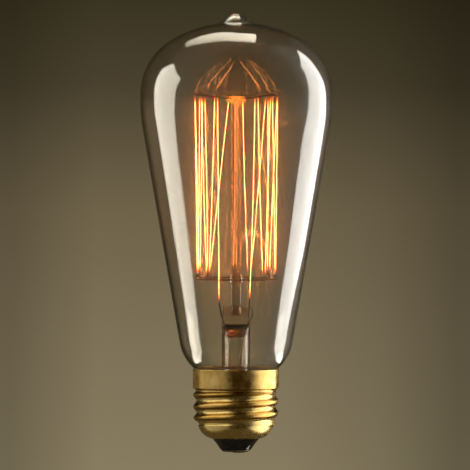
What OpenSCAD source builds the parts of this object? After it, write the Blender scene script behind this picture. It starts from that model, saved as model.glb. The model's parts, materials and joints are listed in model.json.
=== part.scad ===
// Squirrel-cage filament lamp: a drop-shaped bulb with an exhaust tip, a strung filament cage
// on a glass stem, and a brass screw cap. Millimetres, +Z up, Z = 0 on the contact's solder.
// Angles round the cage are counted from the front (-Y) towards the left (-X).

/* [Bulb glass] */
// Outer radius at the widest point
bulb_r = 29.3; // [28:0.1:31]
// Height of the widest point
bulb_z = 107.8; // [105:0.1:112]
// Radius of the gentle bend down the bulb's side
side_bend = 55; // [48:1:65]
// Radius of the bend at the bulb's shoulder
shoulder_bend = 19.7; // [18.5:0.1:21]
// Radius of the domed crown
crown_bend = 39; // [37:0.5:42]
// Angle above the widest point at which the shoulder starts
shoulder_start = 2; // [0:0.5:6]
// Lean of the tapered side from the axis, where it leaves its bends
taper = 9.9; // [9:0.1:10.5]
// Thickness of the glass
glass_t = 0.8; // [0.6:0.05:1]
// Height of the exhaust tip above the crown
tip_h = 2.9; // [1.5:0.1:4]
// Radius of the exhaust tip's foot
tip_r = 5.3; // [4:0.1:7]
// Glass that the sealing flame adds inside the tip
tip_seal = 0.5; // [0.3:0.1:0.9]

/* [Bulb neck] */
// Outer radius of the neck inside the cap
neck_r = 11; // [10.6:0.05:11.1]
// Height above the cap's rim at which the taper turns in towards the neck
neck_rise = 8; // [7.9:0.1:8.6]
// Radius of that turn
neck_bend = 13.3; // [12.8:0.1:13.8]
// Angle through which it turns, from the upright
neck_turn = 50; // [48:1:52]
// Height of the neck's lower edge, which is fused to the stem's brim
neck_foot_z = 12; // [11.8:0.1:13]

/* [Stem glass] */
// Outer radius of the stem tube
stem_r = 4.35; // [4.1:0.05:4.8]
// Wall of the stem tube
stem_t = 1; // [0.7:0.05:1.1]
// Height at which the stem tube starts to flare out to its brim
flare_z = 21; // [19:0.5:24]
// Width of the flat brim that the neck is fused to
brim_w = 0.9; // [0.85:0.05:1.2]
// Height at which the tube starts to flatten into the press
press_z = 35.2; // [34:0.1:36]
// Height of the press's shoulders, where the leads come out
press_shoulder_z = 40.2; // [39.8:0.1:41]
// Height of the top of the press
press_top_z = 44.9; // [44:0.1:46]
// Width of the press above its shoulders
press_w = 7.1; // [6.6:0.1:7.3]
// Thickness of the press, front to back
press_t = 3.6; // [3.5:0.1:4.2]
// Diameter of the glass rod
rod_d = 3.1; // [2.6:0.1:3.3]
// Depth of the rod's foot in the press
rod_foot = 3; // [2:0.1:3.5]

/* [Filament cage] */
// Radius of the cage at its top hooks
cage_top_r = 12.6; // [11.5:0.1:13.5]
// Radius of the cage at its bottom hooks
cage_bottom_r = 12.1; // [11:0.1:13]
// Height of the top hooks
cage_top_z = 109.2; // [106:0.1:112]
// Mean height of the bottom support wires
cage_bottom_z = 53.1; // [50:0.1:56]
// Rise of the bottom supports from the front of the ring to its back
ring_lean = 1.4; // [0:0.1:1.6]
// Angle left open at the front of the cage, between the filament's two ends
cage_opening = 58; // [50:1:70]
// Diameter of the filament wire
filament_d = 0.3; // [0.2:0.05:0.35]
// Bend radius of the filament at a hook
filament_bend = 0.5; // [0.45:0.05:0.6]
// Sideways bow of a strand
strand_bow = 0.25; // [0:0.05:0.4]
// Diameter of the support wires
support_d = 0.3; // [0.2:0.05:0.35]
// Bend radius of a support's hook
hook_bend = 0.55; // [0.5:0.05:0.7]
// Radius of the glass button at the top of the rod
button_r = 3; // [2.8:0.1:3.5]
// Height of that button
button_h = 1.9; // [1.7:0.1:2.4]
// Drop from the top hooks to the wires' roots in the button
button_drop = 1.5; // [1:0.1:2]
// Radius of the glass bead that holds the bottom supports
bead_r = 2.05; // [2:0.05:2.4]
// Height of that bead
bead_h = 3; // [2.8:0.1:3.6]

/* [Leads] */
// Diameter of the inner leads
inner_lead_d = 0.4; // [0.3:0.05:0.45]
// Outer diameter of the clips that grip the filament's ends
clip_d = 0.56; // [0.52:0.02:0.6]
// Diameter of the copper-clad wires sealed in the press
seal_wire_d = 0.4; // [0.3:0.05:0.45]
// Diameter of the outer leads
outer_lead_d = 0.2; // [0.15:0.01:0.22]
// Angle of the side lead and its solder, round from the front
side_lead_angle = 120; // [100:1:140]

/* [Screw cap] */
// Outer radius of the thread's crests
thread_r = 13.05; // [13:0.05:13.2]
// Depth of the thread
thread_depth = 1; // [0.9:0.05:1.05]
// Pitch of the thread, seven turns to the inch
pitch = 3.62; // [3.5:0.01:3.7]
// Height of a crest on the right-hand side (+X)
crest_z = 15.85; // [15:0.05:17]
// Outer radius of the plain collar
collar_r = 13.15; // [13.1:0.05:13.3]
// Height of the collar's lower edge
collar_z = 19.6; // [19:0.1:20]
// Height of the cap's rim
rim_z = 25.4; // [25.2:0.05:25.45]
// Flare of the rim outside the collar
rim_flare = 0.1; // [0.05:0.01:0.15]
// Thickness of the brass
shell_t = 0.3; // [0.2:0.02:0.34]
// Radius of the bend that curls the shell in at the bottom
curl_bend = 5.5; // [5.3:0.1:5.7]
// Height at which that bend starts
curl_z = 8.2; // [8:0.1:8.5]
// Radius of the opening in the shell's bottom
lip_r = 7.4; // [7:0.1:7.6]
// Radius of the solder that joins the side lead to the rim
side_solder_r = 1.2; // [1.1:0.05:1.4]

/* [Contact end] */
// Height of the insulator's top inside the shell
insulator_top_z = 8; // [7.5:0.1:8.4]
// Outer radius of the centre contact
contact_r = 4.5; // [4.2:0.1:4.8]
// Thickness of the contact's metal
contact_t = 0.35; // [0.25:0.05:0.4]
// Radius of the bend round the contact's edge
contact_bend = 1.4; // [1.2:0.1:1.6]
// Inner radius of the eyelet in the contact
eyelet_r = 0.9; // [0.7:0.05:1]
// Wall of that eyelet
eyelet_t = 0.28; // [0.2:0.02:0.4]
// Height of that eyelet above the contact's face
eyelet_h = 1.9; // [1.6:0.1:2.3]
// Width of the insulator's lip round the contact
skirt_lip = 0.25; // [0.2:0.05:0.4]
// Inward bow of the insulator's skirt
skirt_bow = 0.15; // [0:0.05:0.6]
// Height of the solder below the contact's face
solder_h = 0.3; // [0.2:0.05:0.4]
// Radius of the contact's solder where it meets the contact
solder_r = 2.5; // [2.2:0.1:2.8]
// Sideways offset of that solder
solder_offset = 0.9; // [0:0.1:1]

/* [Hidden] */
$fn = 48;
// Clearance of a wire fused into glass
seal_gap = 0.01;
// Clearance between pieces that touch or are cemented
seat_gap = 0.03;
// Clearance of the side lead from what it lies on
lead_gap = 0.03;
// Room left beside the side lead, between the cap's rim and the glass where the neck's bends meet
neck_room = 0.097;
// How far the side lead's end lies below the rim
lead_end_drop = 0.8;
// Share of its radius that the middle of the side solder lies below the rim, so its top stays under it
solder_sink = 5 / 6;
// Angle below the level at which the bend round the contact's edge stops
contact_edge = 35;
// Steps of the shell round its axis and along a pitch of its thread
shell_sides = 36;
pitch_steps = 10;
// Share of a flat-sided ring's radius that its flats reach
shell_flat = cos(180 / shell_sides);
// Sides of a drawn wire, and steps round a filament bend
wire_sides = 6;
bend_steps = 6;

// Hooks in the order in which the filament is strung, and how far each strays from even spacing
top_hooks = 10;
bottom_hooks = top_hooks - 1;
hook_step = (360 - cage_opening) / bottom_hooks;
top_stray = [0, -3, -4, -2, 9, -10, -2, 1, 5, 0];
bottom_stray = [-1, -4, -1, -11, -4, -14, -12, 0, 2];

function top_angle(i) = cage_opening / 2 + hook_step * i + top_stray[i];
function bottom_angle(i) = cage_opening / 2 + hook_step * (i + 0.5) + bottom_stray[i];
function bottom_wire_z(i) = cage_bottom_z - ring_lean / 2 * cos(bottom_angle(i));

// Curves
function arc(centre, r, from, to, steps) =
    [for (i = [0:steps]) let (a = from + (to - from) * i / steps) centre + r * [cos(a), sin(a)]];
function rest_of(points) = [for (i = [1:len(points) - 1]) points[i]];
function backwards(points) = [for (i = [len(points) - 1:-1:0]) points[i]];
function curve(a, b, c, steps) =
    [for (i = [0:steps]) let (s = i / steps) (1 - s) * (1 - s) * a + 2 * s * (1 - s) * b + s * s * c];
function ease(x) = let (c = max(0, min(1, x))) c * c * (3 - 2 * c);
function unit(v) = v / norm(v);
function round_axis(r, angle, z) = [-r * sin(angle), -r * cos(angle), z];

// A smooth route through points, with the given steps between each two
function through(p, steps) = concat(
    [for (i = [0:len(p) - 2], s = [0:steps - 1])
        let (t = s / steps, a = p[max(i - 1, 0)], b = p[i], c = p[i + 1], d = p[min(i + 2, len(p) - 1)])
        0.5 * (2 * b + (c - a) * t + (2 * a - 5 * b + 4 * c - d) * t * t
            + (3 * b - a - 3 * c + d) * t * t * t)],
    [p[len(p) - 1]]);

// Directions along a route, and side vectors that are carried along it without twist
function directions(p) =
    [for (i = [0:len(p) - 1]) unit(p[min(i + 1, len(p) - 1)] - p[max(i - 1, 0)])];
function square_to(v) = unit(cross(v, abs(v.z) < 0.9 ? [0, 0, 1] : [1, 0, 0]));
function carried(t, u) = unit(u - (u * t) * t);
function sides_along(t) =
    [for (i = 0, u = square_to(t[0]); i < len(t); i = i + 1, u = i < len(t) ? carried(t[i], u) : u) u];

// A drawn wire along a route
module wire(route, d, sides = wire_sides) {
    t = directions(route);
    u = sides_along(t);
    last = (len(route) - 1) * sides;
    polyhedron(
        points = [for (i = [0:len(route) - 1], k = [0:sides - 1]) let (a = 360 * k / sides)
            route[i] + d / 2 * (cos(a) * u[i] + sin(a) * cross(t[i], u[i]))],
        faces = concat(
            [for (k = [1:sides - 2]) [0, k, k + 1]],
            [for (k = [1:sides - 2]) [last, last + k + 1, last + k]],
            [for (i = [0:len(route) - 2], k = [0:sides - 1], half = [0, 1])
                let (a = i * sides + k, b = i * sides + (k + 1) % sides)
                half == 0 ? [a, a + sides, b + sides] : [a, b + sides, b]]));
}

// A straight round bar between two points
module bar(from, to, d) {
    run = to - from;
    translate(from)
        rotate([0, acos(run.z / norm(run)), atan2(run.y, run.x)])
            cylinder(h = norm(run), d = d);
}

// Radii of the cap's rim, which the neck and the side lead beside it stand clear of
rim_out_r = collar_r + rim_flare;
rim_in_r = rim_out_r - shell_t;
throat_top_r = rim_in_r - outer_lead_d - 2 * lead_gap - neck_room;

// Bulb profile: four tangent bends and a taper, radius and height
side_centre = [bulb_r - side_bend, bulb_z];
shoulder_centre = side_centre + (side_bend - shoulder_bend) * [cos(shoulder_start), sin(shoulder_start)];
crown_end = acos(shoulder_centre.x / (crown_bend - shoulder_bend));
crown_centre = [0, shoulder_centre.y - (crown_bend - shoulder_bend) * sin(crown_end)];
neck_centre = [throat_top_r - neck_bend * cos(neck_turn), rim_z + neck_rise + neck_bend * sin(taper)];
taper_out = [cos(taper), -sin(taper)];
taper_top = side_centre + side_bend * taper_out;
taper_foot = neck_centre + neck_bend * taper_out;
taper_third = (taper_top.y - taper_foot.y) / (3 * cos(taper)) * [sin(taper), cos(taper)];
throat_top = neck_centre + neck_bend * [cos(neck_turn), -sin(neck_turn)];
throat_bend = (throat_top.x - neck_r) / (1 - cos(neck_turn));
throat_centre = throat_top + throat_bend * [cos(neck_turn), -sin(neck_turn)];

// The taper leaves both its bends at its lean, and eases between them if they aren't in one line
function taper_side(wall) =
    [for (s = [0.25, 0.5, 0.75])
        pow(1 - s, 3) * taper_top + 3 * s * pow(1 - s, 2) * (taper_top - taper_third)
            + 3 * s * s * (1 - s) * (taper_foot + taper_third) + pow(s, 3) * taper_foot - wall * taper_out];

// The bulb's profile, moved inwards by a wall, from its crown down to its neck
function bulb_sides(wall, crown_start) = concat(
    arc(crown_centre, crown_bend - wall, crown_start, crown_end, 12),
    rest_of(arc(shoulder_centre, shoulder_bend - wall, crown_end, shoulder_start, 18)),
    rest_of(arc(side_centre, side_bend - wall, shoulder_start, -taper, 6)),
    taper_side(wall),
    arc(neck_centre, neck_bend - wall, -taper, -neck_turn, 10),
    rest_of(arc(throat_centre, throat_bend + wall, 180 - neck_turn, 180, 8)),
    [[neck_r - wall, neck_foot_z]]);
function crown_z(r, wall) = crown_centre.y + sqrt(pow(crown_bend - wall, 2) - r * r);

function crown_from(wall) = acos((tip_r - wall) / (crown_bend - wall));

// The exhaust tip's profile: a hollow blunt cone on the crown, up to the last step before its foot
tip_steps = 14;
function tip_profile(wall, h) =
    [for (i = [0:tip_steps - 1])
        let (r = (tip_r - wall) * i / tip_steps)
        [r, crown_z(r, wall) + h * cos(90 * i / tip_steps)]];

// Outer radius of the glass at a height inside or just above the cap
function neck_at(z) =
    z < throat_centre.y ? neck_r
    : z < throat_top.y ? throat_centre.x - sqrt(pow(throat_bend, 2) - pow(z - throat_centre.y, 2))
    : neck_centre.x + sqrt(pow(neck_bend, 2) - pow(z - neck_centre.y, 2));

module glass_envelope() {
    color([0.82, 0.8, 0.72, 0.35])
        rotate_extrude()
            polygon(concat(
                tip_profile(0, tip_h),
                bulb_sides(0, crown_from(0)),
                backwards(bulb_sides(glass_t, crown_from(glass_t))),
                backwards(tip_profile(glass_t, tip_h - tip_seal))));
}

// Stem profile: a tube that flares to a flat brim under the neck
brim_in = neck_r - brim_w;
flare_run = [brim_in - stem_r, flare_z - neck_foot_z];
flare_bend = (pow(flare_run.x, 2) + pow(flare_run.y, 2)) / (2 * flare_run.x);
flare_centre = [stem_r + flare_bend, flare_z];
flare_turn = asin(flare_run.y / flare_bend);
bore_r = stem_r - stem_t;
// Glass between the bore's end and the press's shoulders
bore_cover = 3;
bore_top_z = press_shoulder_z - bore_cover;
rod_foot_z = press_top_z - rod_foot;
// Corners of the press's two widths and of the bore's end, and the bore's half thickness there
shoulder_corner = 0.4;
press_corner = 1.4;
bore_corner = 1.2;
bore_pinch = 0.7;
// Height over which the press and the bore's end keep their pinched thickness
press_pinch_h = 1;
bore_pinch_h = 0.4;

function flare_sides(wall) = concat(
    [[stem_r - wall, press_z]],
    arc(flare_centre, flare_bend + wall, 180, 180 + flare_turn, 12),
    [[neck_r, neck_foot_z - wall]]);

// Front and side outlines of the press, and of the bore's end inside it
module rounded_top(half_w, z_low, z_top, corner) {
    polygon(concat(
        [[half_w, z_low]],
        arc([half_w - corner, z_top - corner], corner, 0, 90, 8),
        arc([corner - half_w, z_top - corner], corner, 90, 180, 8),
        [[-half_w, z_low]]));
}

module pinched_top(half_low, z_low, half_high, z_high, z_top) {
    polygon([[half_low, z_low - 1], [half_low, z_low], [half_high, z_high], [half_high, z_top],
        [-half_high, z_top], [-half_high, z_high], [-half_low, z_low], [-half_low, z_low - 1]]);
}

module upright(depth) {
    rotate([90, 0, 0])
        linear_extrude(height = depth, center = true)
            children();
}

module press_body() {
    intersection() {
        translate([0, 0, press_z])
            cylinder(h = press_top_z - press_z, r = stem_r);
        upright(3 * stem_r) {
            rounded_top(stem_r, press_z - 1, press_shoulder_z, shoulder_corner);
            rounded_top(press_w / 2, press_z - 1, press_top_z, press_corner);
        }
        rotate([0, 0, 90])
            upright(3 * stem_r)
                pinched_top(stem_r, press_z, press_t / 2, press_shoulder_z - press_pinch_h, press_top_z);
    }
}

module bore_end() {
    intersection() {
        translate([0, 0, press_z - 1])
            cylinder(h = bore_top_z - press_z + 1, r = bore_r);
        upright(3 * stem_r)
            rounded_top(bore_r, press_z - 1, bore_top_z, bore_corner);
        rotate([0, 0, 90])
            upright(3 * stem_r)
                pinched_top(bore_r, press_z - 0.6, bore_pinch, bore_top_z - bore_pinch_h, bore_top_z);
    }
}

// Ends of the sealed wires: inside the bore, and out at the press's shoulders
seal_low_r = 2.5;
seal_low_drop = 0.6;
seal_low = [seal_low_r, 0, bore_top_z - seal_low_drop];
seal_high = [(stem_r + press_w / 2) / 2, 0, press_shoulder_z];

module stem_tube() {
    seal_run = seal_high - seal_low;
    color([0.85, 0.85, 0.82, 0.4])
        difference() {
            union() {
                rotate_extrude()
                    polygon(concat(flare_sides(0), backwards(flare_sides(stem_t))));
                press_body();
            }
            bore_end();
            translate([0, 0, rod_foot_z - seal_gap])
                cylinder(h = rod_foot + 1, d = rod_d + 2 * seal_gap);
            for (side = [0, 1])
                mirror([side, 0, 0])
                    bar(seal_low, seal_high + seal_run / 4, seal_wire_d + 2 * seal_gap);
        }
}

module seal_wire() {
    bar(seal_low, seal_high, seal_wire_d);
}

module seal_wire_left() {
    color([0.62, 0.3, 0.2]) mirror([1, 0, 0]) seal_wire();
}

module seal_wire_right() {
    color([0.62, 0.3, 0.2]) seal_wire();
}

// Glass rod, and the button and the bead that hold the support wires
button_corner = 0.6;
bead_corner = 0.45;
// Glass of the button between the rod's top and the wires' roots
root_cover = 0.4;
rod_top_z = cage_top_z - button_drop - support_d / 2 - root_cover;
button_top_z = cage_top_z - button_drop + button_h / 2;
top_root_r = button_r / 2;
bottom_root_r = rod_d / 3;

module arbor_rod() {
    color([0.88, 0.88, 0.85, 0.5])
        difference() {
            translate([0, 0, rod_foot_z])
                cylinder(h = rod_top_z - rod_foot_z, d = rod_d);
            bottom_wire_roots();
        }
}

module rounded_disc(r, h, corner) {
    rotate_extrude()
        polygon(concat(
            [[0, h / 2]],
            arc([r - corner, h / 2 - corner], corner, 90, 0, 6),
            arc([r - corner, corner - h / 2], corner, 0, -90, 6),
            [[0, -h / 2]]));
}

module top_button() {
    color([0.88, 0.86, 0.8, 0.5])
        difference() {
            translate([0, 0, button_top_z - button_h / 2])
                rounded_disc(button_r, button_h, button_corner);
            translate([0, 0, button_top_z - button_h - 1])
                cylinder(h = rod_top_z - button_top_z + button_h + 1 + seal_gap, d = rod_d + 2 * seal_gap);
            for (i = [0:top_hooks - 1])
                support_root(top_angle(i), top_root_r - seal_gap, cage_top_z - button_drop,
                    cage_top_r, cage_top_z);
        }
}

module bottom_wire_roots() {
    for (i = [0:bottom_hooks - 1])
        support_root(bottom_angle(i), bottom_root_r - seal_gap, bottom_wire_z(i),
            cage_bottom_r, bottom_wire_z(i));
}

module lower_bead() {
    color([0.88, 0.86, 0.8, 0.5])
        difference() {
            translate([0, 0, cage_bottom_z])
                rounded_disc(bead_r, bead_h, bead_corner);
            translate([0, 0, cage_bottom_z - bead_h])
                cylinder(h = 2 * bead_h, d = rod_d + 2 * seal_gap);
            bottom_wire_roots();
        }
}

// A support wire in the plane of the axis: a straight run out to the cage, and a hook curled up
module at_angle(angle) {
    rotate([0, 0, -90 - angle]) children();
}

module support_root(angle, root_r, root_z, hook_r, hook_z) {
    at_angle(angle)
        bar([root_r, 0, root_z], [hook_r, 0, hook_z], support_d + 2 * seal_gap);
}

module support(angle, root_r, root_z, hook_r, hook_z, turn) {
    run = [hook_r - root_r, hook_z - root_z];
    color([0.4, 0.36, 0.34])
        at_angle(angle)
            translate([root_r, 0, root_z])
                rotate([0, -atan2(run.y, run.x), 0]) {
                    rotate([0, 90, 0])
                        cylinder(h = norm(run), d = support_d);
                    translate([norm(run), 0, hook_bend])
                        rotate([90, 0, 0])
                            rotate([0, 0, -90])
                                rotate_extrude(angle = turn)
                                    translate([hook_bend, 0])
                                        circle(d = support_d);
                }
}

module top_support(i) {
    support(top_angle(i), top_root_r, cage_top_z - button_drop, cage_top_r, cage_top_z, 190);
}

module bottom_support(i) {
    support(bottom_angle(i), bottom_root_r, bottom_wire_z(i), cage_bottom_r, bottom_wire_z(i), 255);
}

// Filament: one wire, over each top hook and under the curl of each bottom one
over_top_z = cage_top_z + (support_d + filament_d) / 2 + seat_gap - filament_bend;
function under_bottom_z(i) =
    bottom_wire_z(i) + 2 * hook_bend - (support_d + filament_d) / 2 - seat_gap + filament_bend;
function around(angle) = [-cos(angle), sin(angle), 0];
function bend_at(angle, r, z, up) =
    [for (s = [0:bend_steps]) let (b = 180 * s / bend_steps)
        round_axis(r, angle, z) - filament_bend * (cos(b) * around(angle) - up * sin(b) * [0, 0, 1])];
function top_bend(i) = bend_at(top_angle(i), cage_top_r, over_top_z, 1);
function bottom_bend(i) = bend_at(bottom_angle(i), cage_bottom_r, under_bottom_z(i), -1);

// The inner points of a strand between two hooks, bowed a little to one side or the other
function strand(from, to, number) =
    [for (s = [0.25, 0.5, 0.75])
        let (middle = from + s * (to - from), out = unit([middle.x, middle.y, 0]))
        middle + strand_bow * sin(180 * s) * sin(137 * number) * [-out.y, out.x, 0]];
function last_of(points) = points[len(points) - 1];

lead_reach = (inner_lead_d + clip_d) / 2 + seal_gap;
weld_left = [-4, 0, press_shoulder_z + 0.9];
clip_foot_left = weld_left - lead_reach * [0.6, 0.8, 0];
clip_top_left = [-5.18, -1.2, 45.7];
clip_foot_right = [3.8, -2.3, 41.2];
clip_top_right = [4.1, -2.7, 46.8];
clip_inset = 0.5;

function into_clip(foot, top) = [
    foot + clip_inset * unit(top - foot),
    top + clip_inset * unit(top - foot)];

filament_route = concat(
    into_clip(clip_foot_left, clip_top_left),
    strand(clip_top_left, top_bend(0)[0], 0),
    [for (i = [0:bottom_hooks - 1])
        each concat(
            top_bend(i),
            strand(last_of(top_bend(i)), bottom_bend(i)[0], 2 * i + 1),
            bottom_bend(i),
            strand(last_of(bottom_bend(i)), top_bend(i + 1)[0], 2 * i + 2))],
    top_bend(top_hooks - 1),
    strand(last_of(top_bend(top_hooks - 1)), clip_top_right, 2 * top_hooks),
    backwards(into_clip(clip_foot_right, clip_top_right)));

// The least clear gap between two stretches of the filament, measured on its points
least_gap = min([for (i = [0:len(filament_route) - 1], j = [i + bend_steps:len(filament_route) - 1])
    norm(filament_route[i] - filament_route[j])]) - filament_d;
echo(least_gap_in_filament = least_gap);

module filament() {
    color([1, 0.72, 0.25]) wire(filament_route, filament_d);
}

// Clips on the filament's ends: short tubes that the inner leads are welded to
module clip(foot, top) {
    color([0.45, 0.42, 0.4])
        difference() {
            bar(foot, top, clip_d);
            bar(foot - unit(top - foot), top + unit(top - foot), filament_d + 2 * seal_gap);
        }
}

module filament_clip_left() {
    clip(clip_foot_left, clip_top_left);
}

module filament_clip_right() {
    clip(clip_foot_right, clip_top_right);
}

// Inner leads: from the press's shoulders to the clips
seal_direction = unit(seal_high - seal_low);

module inner_lead_left() {
    exit = [-seal_high.x, seal_high.y, seal_high.z];
    out = [-seal_direction.x, 0, seal_direction.z];
    color([0.5, 0.46, 0.42])
        wire(concat(
            [exit],
            through([
                exit + 0.3 * out,
                weld_left,
                weld_left + [0.05, 0.1, 1.2],
                weld_left + [0.2, 0, 3.6]], 3)), inner_lead_d, 8);
}

module inner_lead_right() {
    weld = clip_foot_right + (clip_top_right - clip_foot_right) * 0.55;
    color([0.5, 0.46, 0.42])
        wire(concat(
            [seal_high],
            through([
                seal_high + 0.3 * seal_direction,
                [4.75, -0.6, 41.4],
                [5.05, -1.3, 42.7],
                [4.85, -1.9, 43.7],
                weld + [lead_reach, 0, 0]], 3)), inner_lead_d, 8);
}

// Outer leads: the centre one down to the contact, the side one round the neck and over the rim
lead_rest = outer_lead_d / 2 + lead_gap;
shell_in_r = (collar_r - shell_t) * shell_flat;

module centre_lead() {
    color([0.72, 0.42, 0.26])
        wire(concat(
            [seal_low],
            through([
                seal_low - 0.3 * seal_direction,
                [1.9, 0.3, 32],
                [1.1, 0.3, 24],
                [0.4, 0.2, 15],
                [0, 0, 9],
                [0, 0, 4],
                [0, 0, 0.5]], 3)), outer_lead_d, 8);
}

// Half-plane route of the side lead's outer part, radius and height
side_lead_sides = concat(
    arc([neck_r, neck_foot_z - stem_t], lead_rest, -90, 0, 4),
    arc(throat_centre, throat_bend - lead_rest, 180, 180 - 0.85 * neck_turn, 5),
    arc([rim_in_r * shell_flat, rim_z], lead_rest, 180, 90, 3),
    arc([rim_out_r, rim_z], lead_rest, 90, 0, 3),
    [[rim_out_r + lead_rest, rim_z - lead_end_drop]]);

module side_lead() {
    entry = [-seal_low.x, seal_low.y, seal_low.z];
    out = [-seal_direction.x, 0, seal_direction.z];
    under_brim_z = neck_foot_z - stem_t - lead_rest;
    color([0.72, 0.42, 0.26])
        wire(concat(
            [entry],
            through([
                entry - 0.3 * out,
                [-2.1, 0.4, 32],
                [-2.3, 0.5, 24],
                round_axis(3.2, side_lead_angle, 16.5),
                round_axis(6.2, side_lead_angle, under_brim_z + 0.8),
                round_axis(brim_in - 0.8, side_lead_angle, under_brim_z - 0.1),
                round_axis(neck_r - 0.5, side_lead_angle, under_brim_z)], 3),
            [for (p = side_lead_sides) round_axis(p.x, side_lead_angle, p.y)]), outer_lead_d, 8);
}

// Screw shell: one sheet whose radius follows the thread, closed over the rim and round the lip
thread_swing = thread_depth / 2;
thread_mid = thread_r - thread_swing;
// The groove between the collar and the thread: its drop below the collar, and its depth's share
groove_drop = 0.5;
groove_share = 0.8;
groove_z = collar_z - groove_drop;
groove_r = thread_r - groove_share * thread_depth;
// Steps in radius and height that round the collar's lower edge and the groove
collar_edge = [0.15, 0.05];
groove_edge = [0.1, 0.15];
// Depth of the rim's flared band, of the band with the blend under it, and of the collar's edge
rim_band = 0.25;
rim_blend = 0.6;
collar_band = 0.2;
// Angles below the level between which the shell curls in to its lip
curl_start = 16;
curl_stop = 77;
curl_centre = [lip_r - curl_bend * cos(curl_stop), curl_z + curl_bend * sin(curl_start)];
curl_top_r = curl_centre.x + curl_bend * cos(curl_start);
// Heights of the thread's first and last row
thread_foot_z = curl_z + 0.3;
thread_top_z = groove_z - groove_edge.y;
thread_rows = floor((thread_top_z - thread_foot_z) / (pitch / pitch_steps));
// Heights over which the thread fades in under the groove, and narrows and fades out at the curl
thread_fade = 1.3;
narrow_run = 3;
swing_below = 1;
swing_run = 2.6;

// Mean radius of the rolled part, and how much of the thread's swing shows, at a height
function rolled_r(z) =
    let (low = ease((curl_z + narrow_run - z) / narrow_run),
        high = ease((z - groove_z + thread_fade) / thread_fade))
    thread_mid + (curl_top_r - thread_mid) * low + (groove_r - thread_mid) * high;
function swing_at(z) =
    thread_swing * ease((groove_z - z) / thread_fade) * ease((z - curl_z + swing_below) / swing_run);

// Rows down the sheet: mean radius, height, swing
function shell_rows(wall) = concat(
    [
        [rim_out_r - wall, rim_z, 0],
        [rim_out_r - wall, rim_z - rim_band, 0],
        [collar_r - wall, rim_z - rim_blend, 0],
        [collar_r - wall, collar_z + collar_band, 0],
        [collar_r - collar_edge.x - wall, collar_z - collar_edge.y, 0],
        [groove_r + groove_edge.x - wall, groove_z + groove_edge.y, 0]
    ],
    [for (i = [0:thread_rows])
        let (z = thread_top_z - (thread_top_z - thread_foot_z) * i / thread_rows)
        [rolled_r(z) - wall, z, swing_at(z)]],
    [for (p = arc(curl_centre, curl_bend - wall, -curl_start, -curl_stop, 6)) [p.x, p.y, 0]]);
sheet = concat(shell_rows(0), backwards(shell_rows(shell_t)));

module screw_shell() {
    rows = len(sheet);
    color([0.83, 0.65, 0.27])
        polyhedron(
            points = [for (row = sheet, k = [0:shell_sides - 1])
                let (
                    a = 360 * k / shell_sides,
                    r = row[0] + row[2] * cos(360 * (row[1] - crest_z) / pitch - a))
                [r * cos(a), r * sin(a), row[1]]],
            faces = [for (i = [0:rows - 1], k = [0:shell_sides - 1], half = [0, 1])
                let (
                    a = i * shell_sides + k,
                    b = i * shell_sides + (k + 1) % shell_sides,
                    c = (i + 1) % rows * shell_sides + (k + 1) % shell_sides,
                    d = (i + 1) % rows * shell_sides + k)
                half == 0 ? [a, b, c] : [a, c, d]]);
}

// Cement between the neck and the collar, slit for the side lead
cement_below_rim = 0.2;
cement_above_groove = 0.4;
cement_top_z = rim_z - cement_below_rim;
cement_foot_z = collar_z + cement_above_groove;

module basing_cement() {
    cement_h = cement_top_z - cement_foot_z;
    heights = [for (i = [0:8]) cement_foot_z + cement_h * i / 8];
    color([0.8, 0.76, 0.66])
        difference() {
            rotate_extrude()
                polygon(concat(
                    [for (z = heights) [neck_at(z) + seat_gap, z]],
                    [[shell_in_r - seat_gap, cement_top_z], [shell_in_r - seat_gap, cement_foot_z]]));
            at_angle(side_lead_angle)
                translate([neck_r - 1, -outer_lead_d / 2 - lead_gap, cement_foot_z - 1])
                    cube([shell_in_r - neck_r + 2, outer_lead_d + 2 * lead_gap, cement_h + 2]);
        }
}

// Contact end: profile of the dished contact, the insulator that it is seated on, and the solder
contact_z = solder_h;
contact_centre = [contact_r - contact_bend * cos(contact_edge), contact_z + contact_bend];
eyelet_top_z = contact_z + eyelet_h;

module centre_contact() {
    color([0.55, 0.52, 0.47])
        rotate_extrude()
            polygon(concat(
                [[eyelet_r, eyelet_top_z], [eyelet_r, contact_z]],
                arc(contact_centre, contact_bend, -90, -contact_edge, 6),
                arc(contact_centre, contact_bend - contact_t, -contact_edge, -90, 6),
                [[eyelet_r + eyelet_t, contact_z + contact_t], [eyelet_r + eyelet_t, eyelet_top_z]]));
}

insulator_gap = 0.08;
seat_bend = contact_bend - contact_t - seat_gap;
skirt_foot = [contact_r + skirt_lip, contact_centre.y - (contact_bend - contact_t) * sin(contact_edge)];
skirt_top = [
    (lip_r - shell_t * cos(curl_stop)) * shell_flat - insulator_gap,
    curl_centre.y - curl_bend * sin(curl_stop)];
inside_curl = curl_bend - shell_t - insulator_gap;

module insulator() {
    top_turn = asin((curl_centre.y - insulator_top_z) / inside_curl);
    color([0.05, 0.05, 0.06])
        rotate_extrude()
            polygon(concat(
                [[eyelet_r + eyelet_t + seat_gap, insulator_top_z]],
                arc(curl_centre, inside_curl, -top_turn, -curl_stop, 8),
                [[skirt_top.x, curl_centre.y - inside_curl * sin(curl_stop)]],
                curve(skirt_top, (skirt_top + skirt_foot) / 2 + skirt_bow * [-1, 1], skirt_foot, 6),
                arc(contact_centre, seat_bend, -contact_edge, -90, 6),
                [[eyelet_r + eyelet_t + seat_gap, contact_centre.y - seat_bend]]));
}

// Width of the solder's slope, and how far its core fills the eyelet above the contact
solder_slope = 0.9;
solder_core = 1.2;

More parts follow.
